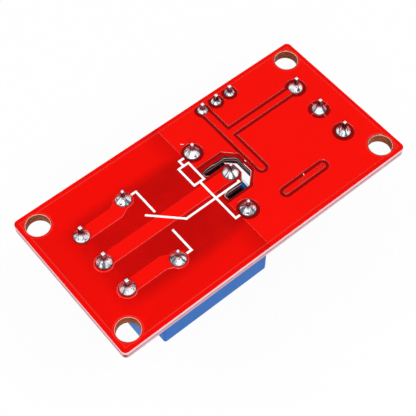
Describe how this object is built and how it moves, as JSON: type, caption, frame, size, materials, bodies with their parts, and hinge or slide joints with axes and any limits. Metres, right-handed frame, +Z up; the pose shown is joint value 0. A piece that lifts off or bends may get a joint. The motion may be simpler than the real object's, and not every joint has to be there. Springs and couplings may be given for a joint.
{
  "type": "relay module board",
  "caption": "Relay module board with a sealed relay, screw terminals, a jumper header and small control parts, lying solder side up on the relay.",
  "frame": {"origin": "middle of the board's outline, at the height of the relay's flat top, which is what the module lies on", "axes": "+X along the board's long side towards the control terminal, +Y across the board towards the header, +Z up out of the solder side"},
  "size_m": [0.05, 0.025, 0.0205],
  "materials": {
    "red_laminate": "red lacquer over glass laminate, pale pink at the routed edges",
    "lacquered_copper": "copper under the same red lacquer",
    "white_print": "white printed line",
    "relay_blue": "blue moulded case",
    "terminal_blue": "blue moulded terminal block",
    "black_plastic": "black moulded plastic",
    "bobbin_plastic": "cream moulded bobbin",
    "enamelled_wire": "enamelled copper winding",
    "magnet_steel": "soft iron, zinc plated",
    "contact_bronze": "phosphor bronze",
    "zinc_steel": "zinc plated",
    "solder": "bright solder",
    "resistor_ceramic": "black glazed film on a white ceramic body",
    "led_resin": "clear resin over a pale body",
    "pad_tin": "tinned",
    "tinned_metal": "tinned brass"
  },
  "bodies": {
    "board": {"chip_end_caps": "pad_tin", "chip_resistors": "resistor_ceramic", "circuit_board": "red_laminate", "component_pads": "pad_tin", "contact_tracks": "lacquered_copper", "diode": "black_plastic", "diode_leads": "tinned_metal", "ground_pour": "lacquered_copper", "header_housing": "black_plastic", "header_pins": "tinned_metal", "header_solder": "solder", "input_contact_1": "tinned_metal", "input_contact_2": "tinned_metal", "input_contact_3": "tinned_metal", "input_solder": "solder", "input_terminal_body": "terminal_blue", "optocoupler": "black_plastic", "optocoupler_leads": "tinned_metal", "output_contact_1": "tinned_metal", "output_contact_2": "tinned_metal", "output_contact_3": "tinned_metal", "output_solder": "solder", "output_terminal_body": "terminal_blue", "power_led": "led_resin", "relay_base": "black_plastic", "relay_bobbin": "bobbin_plastic", "relay_case": "relay_blue", "relay_closed_contact": "contact_bronze", "relay_coil_pin_left": "tinned_metal", "relay_coil_pin_right": "tinned_metal", "relay_common_pin": "tinned_metal", "relay_core": "magnet_steel", "relay_led": "led_resin", "relay_open_contact": "contact_bronze", "relay_solder": "solder", "relay_symbol": "white_print", "relay_winding": "enamelled_wire", "relay_yoke": "magnet_steel", "signal_tracks": "lacquered_copper", "transistor": "black_plastic", "transistor_leads": "tinned_metal"},
    "output_screw_1": {"output_clamp_screw_1": "zinc_steel"},
    "output_cage_1": {"output_clamp_cage_1": "zinc_steel"},
    "output_screw_2": {"output_clamp_screw_2": "zinc_steel"},
    "output_cage_2": {"output_clamp_cage_2": "zinc_steel"},
    "output_screw_3": {"output_clamp_screw_3": "zinc_steel"},
    "output_cage_3": {"output_clamp_cage_3": "zinc_steel"},
    "input_screw_1": {"input_clamp_screw_1": "zinc_steel"},
    "input_cage_1": {"input_clamp_cage_1": "zinc_steel"},
    "input_screw_2": {"input_clamp_screw_2": "zinc_steel"},
    "input_cage_2": {"input_clamp_cage_2": "zinc_steel"},
    "input_screw_3": {"input_clamp_screw_3": "zinc_steel"},
    "input_cage_3": {"input_clamp_cage_3": "zinc_steel"},
    "jumper": {"jumper_cap": "black_plastic", "jumper_clip": "contact_bronze"},
    "armature": {"relay_armature": "magnet_steel", "relay_contact_spring": "contact_bronze", "relay_moving_contact": "contact_bronze"}
  },
  "joints": [
    {"name": "output_screw_1_turn", "type": "hinge", "parent": "board", "child": "output_screw_1", "pos_m": [-0.01755, -0.00528, 0.008], "axis": [0, 0, 1], "range_deg": [0, 1800]},
    {"name": "output_cage_1_rise", "type": "slide", "parent": "board", "child": "output_cage_1", "axis": [0, 0, -1], "range_m": [0, 0.002]},
    {"name": "output_screw_2_turn", "type": "hinge", "parent": "board", "child": "output_screw_2", "pos_m": [-0.01755, -0.0002, 0.008], "axis": [0, 0, 1], "range_deg": [0, 1800]},
    {"name": "output_cage_2_rise", "type": "slide", "parent": "board", "child": "output_cage_2", "axis": [0, 0, -1], "range_m": [0, 0.002]},
    {"name": "output_screw_3_turn", "type": "hinge", "parent": "board", "child": "output_screw_3", "pos_m": [-0.01755, 0.00488, 0.008], "axis": [0, 0, 1], "range_deg": [0, 1800]},
    {"name": "output_cage_3_rise", "type": "slide", "parent": "board", "child": "output_cage_3", "axis": [0, 0, -1], "range_m": [0, 0.002]},
    {"name": "input_screw_1_turn", "type": "hinge", "parent": "board", "child": "input_screw_1", "pos_m": [0.01867, -0.00493, 0.008], "axis": [0, 0, 1], "range_deg": [0, 1800]},
    {"name": "input_cage_1_rise", "type": "slide", "parent": "board", "child": "input_cage_1", "axis": [0, 0, -1], "range_m": [0, 0.002]},
    {"name": "input_screw_2_turn", "type": "hinge", "parent": "board", "child": "input_screw_2", "pos_m": [0.01867, 0.00015, 0.008], "axis": [0, 0, 1], "range_deg": [0, 1800]},
    {"name": "input_cage_2_rise", "type": "slide", "parent": "board", "child": "input_cage_2", "axis": [0, 0, -1], "range_m": [0, 0.002]},
    {"name": "input_screw_3_turn", "type": "hinge", "parent": "board", "child": "input_screw_3", "pos_m": [0.01867, 0.00523, 0.008], "axis": [0, 0, 1], "range_deg": [0, 1800]},
    {"name": "input_cage_3_rise", "type": "slide", "parent": "board", "child": "input_cage_3", "axis": [0, 0, -1], "range_m": [0, 0.002]},
    {"name": "jumper_pull", "type": "slide", "parent": "board", "child": "jumper", "axis": [0, 0, -1], "range_m": [0, 0.0062]},
    {"name": "armature_rock", "type": "hinge", "parent": "board", "child": "armature", "pos_m": [0.00305, -0.0001, 0.0041], "axis": [0, 1, 0], "range_deg": [0, 2.8], "stiffness_Nm_per_rad": 0.0008, "springref_deg": -17.19}
  ],
  "couplings": [
    {"joint": "output_screw_1_turn", "follows": "output_cage_1_rise", "rad_per_m": 15708},
    {"joint": "output_screw_2_turn", "follows": "output_cage_2_rise", "rad_per_m": 15708},
    {"joint": "output_screw_3_turn", "follows": "output_cage_3_rise", "rad_per_m": 15708},
    {"joint": "input_screw_1_turn", "follows": "input_cage_1_rise", "rad_per_m": 15708},
    {"joint": "input_screw_2_turn", "follows": "input_cage_2_rise", "rad_per_m": 15708},
    {"joint": "input_screw_3_turn", "follows": "input_cage_3_rise", "rad_per_m": 15708}
  ]
}
